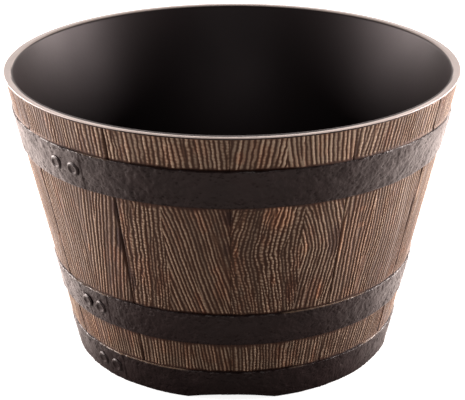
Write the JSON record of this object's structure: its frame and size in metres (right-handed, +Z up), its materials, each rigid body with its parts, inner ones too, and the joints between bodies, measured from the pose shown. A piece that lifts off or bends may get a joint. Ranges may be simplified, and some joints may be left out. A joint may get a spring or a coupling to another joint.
{
  "type": "barrel planter",
  "caption": "Round tapered flower pot moulded like a cut-down barrel, with stave grooves, riveted hoops, an arched foot and a rubber stopper in its drain hole.",
  "frame": {"origin": "centre of the circle that the pot stands on", "axes": "+Z up through the rim, -Y towards the front of the pot, +X to its right as seen from the front"},
  "size_m": [0.386, 0.3858, 0.25],
  "materials": {
    "stave_resin": "satin, carved like wood and wiped with a tan highlight",
    "hoop_resin": "satin, lightly hammered",
    "rivet_resin": "satin",
    "stopper_rubber": "matt"
  },
  "bodies": {
    "pot": {"pot_shell": "stave_resin", "upper_hoop": "hoop_resin", "lower_hoop": "hoop_resin", "base_hoop": "hoop_resin", "upper_hoop_rivets": "rivet_resin", "lower_hoop_rivets": "rivet_resin", "base_hoop_rivets": "rivet_resin"},
    "stopper": {"drain_plug": "stopper_rubber"}
  },
  "joints": [
    {"name": "stopper_lift", "type": "slide", "parent": "pot", "child": "stopper", "axis": [0, 0, 1], "range_m": [0, 0.28]}
  ]
}
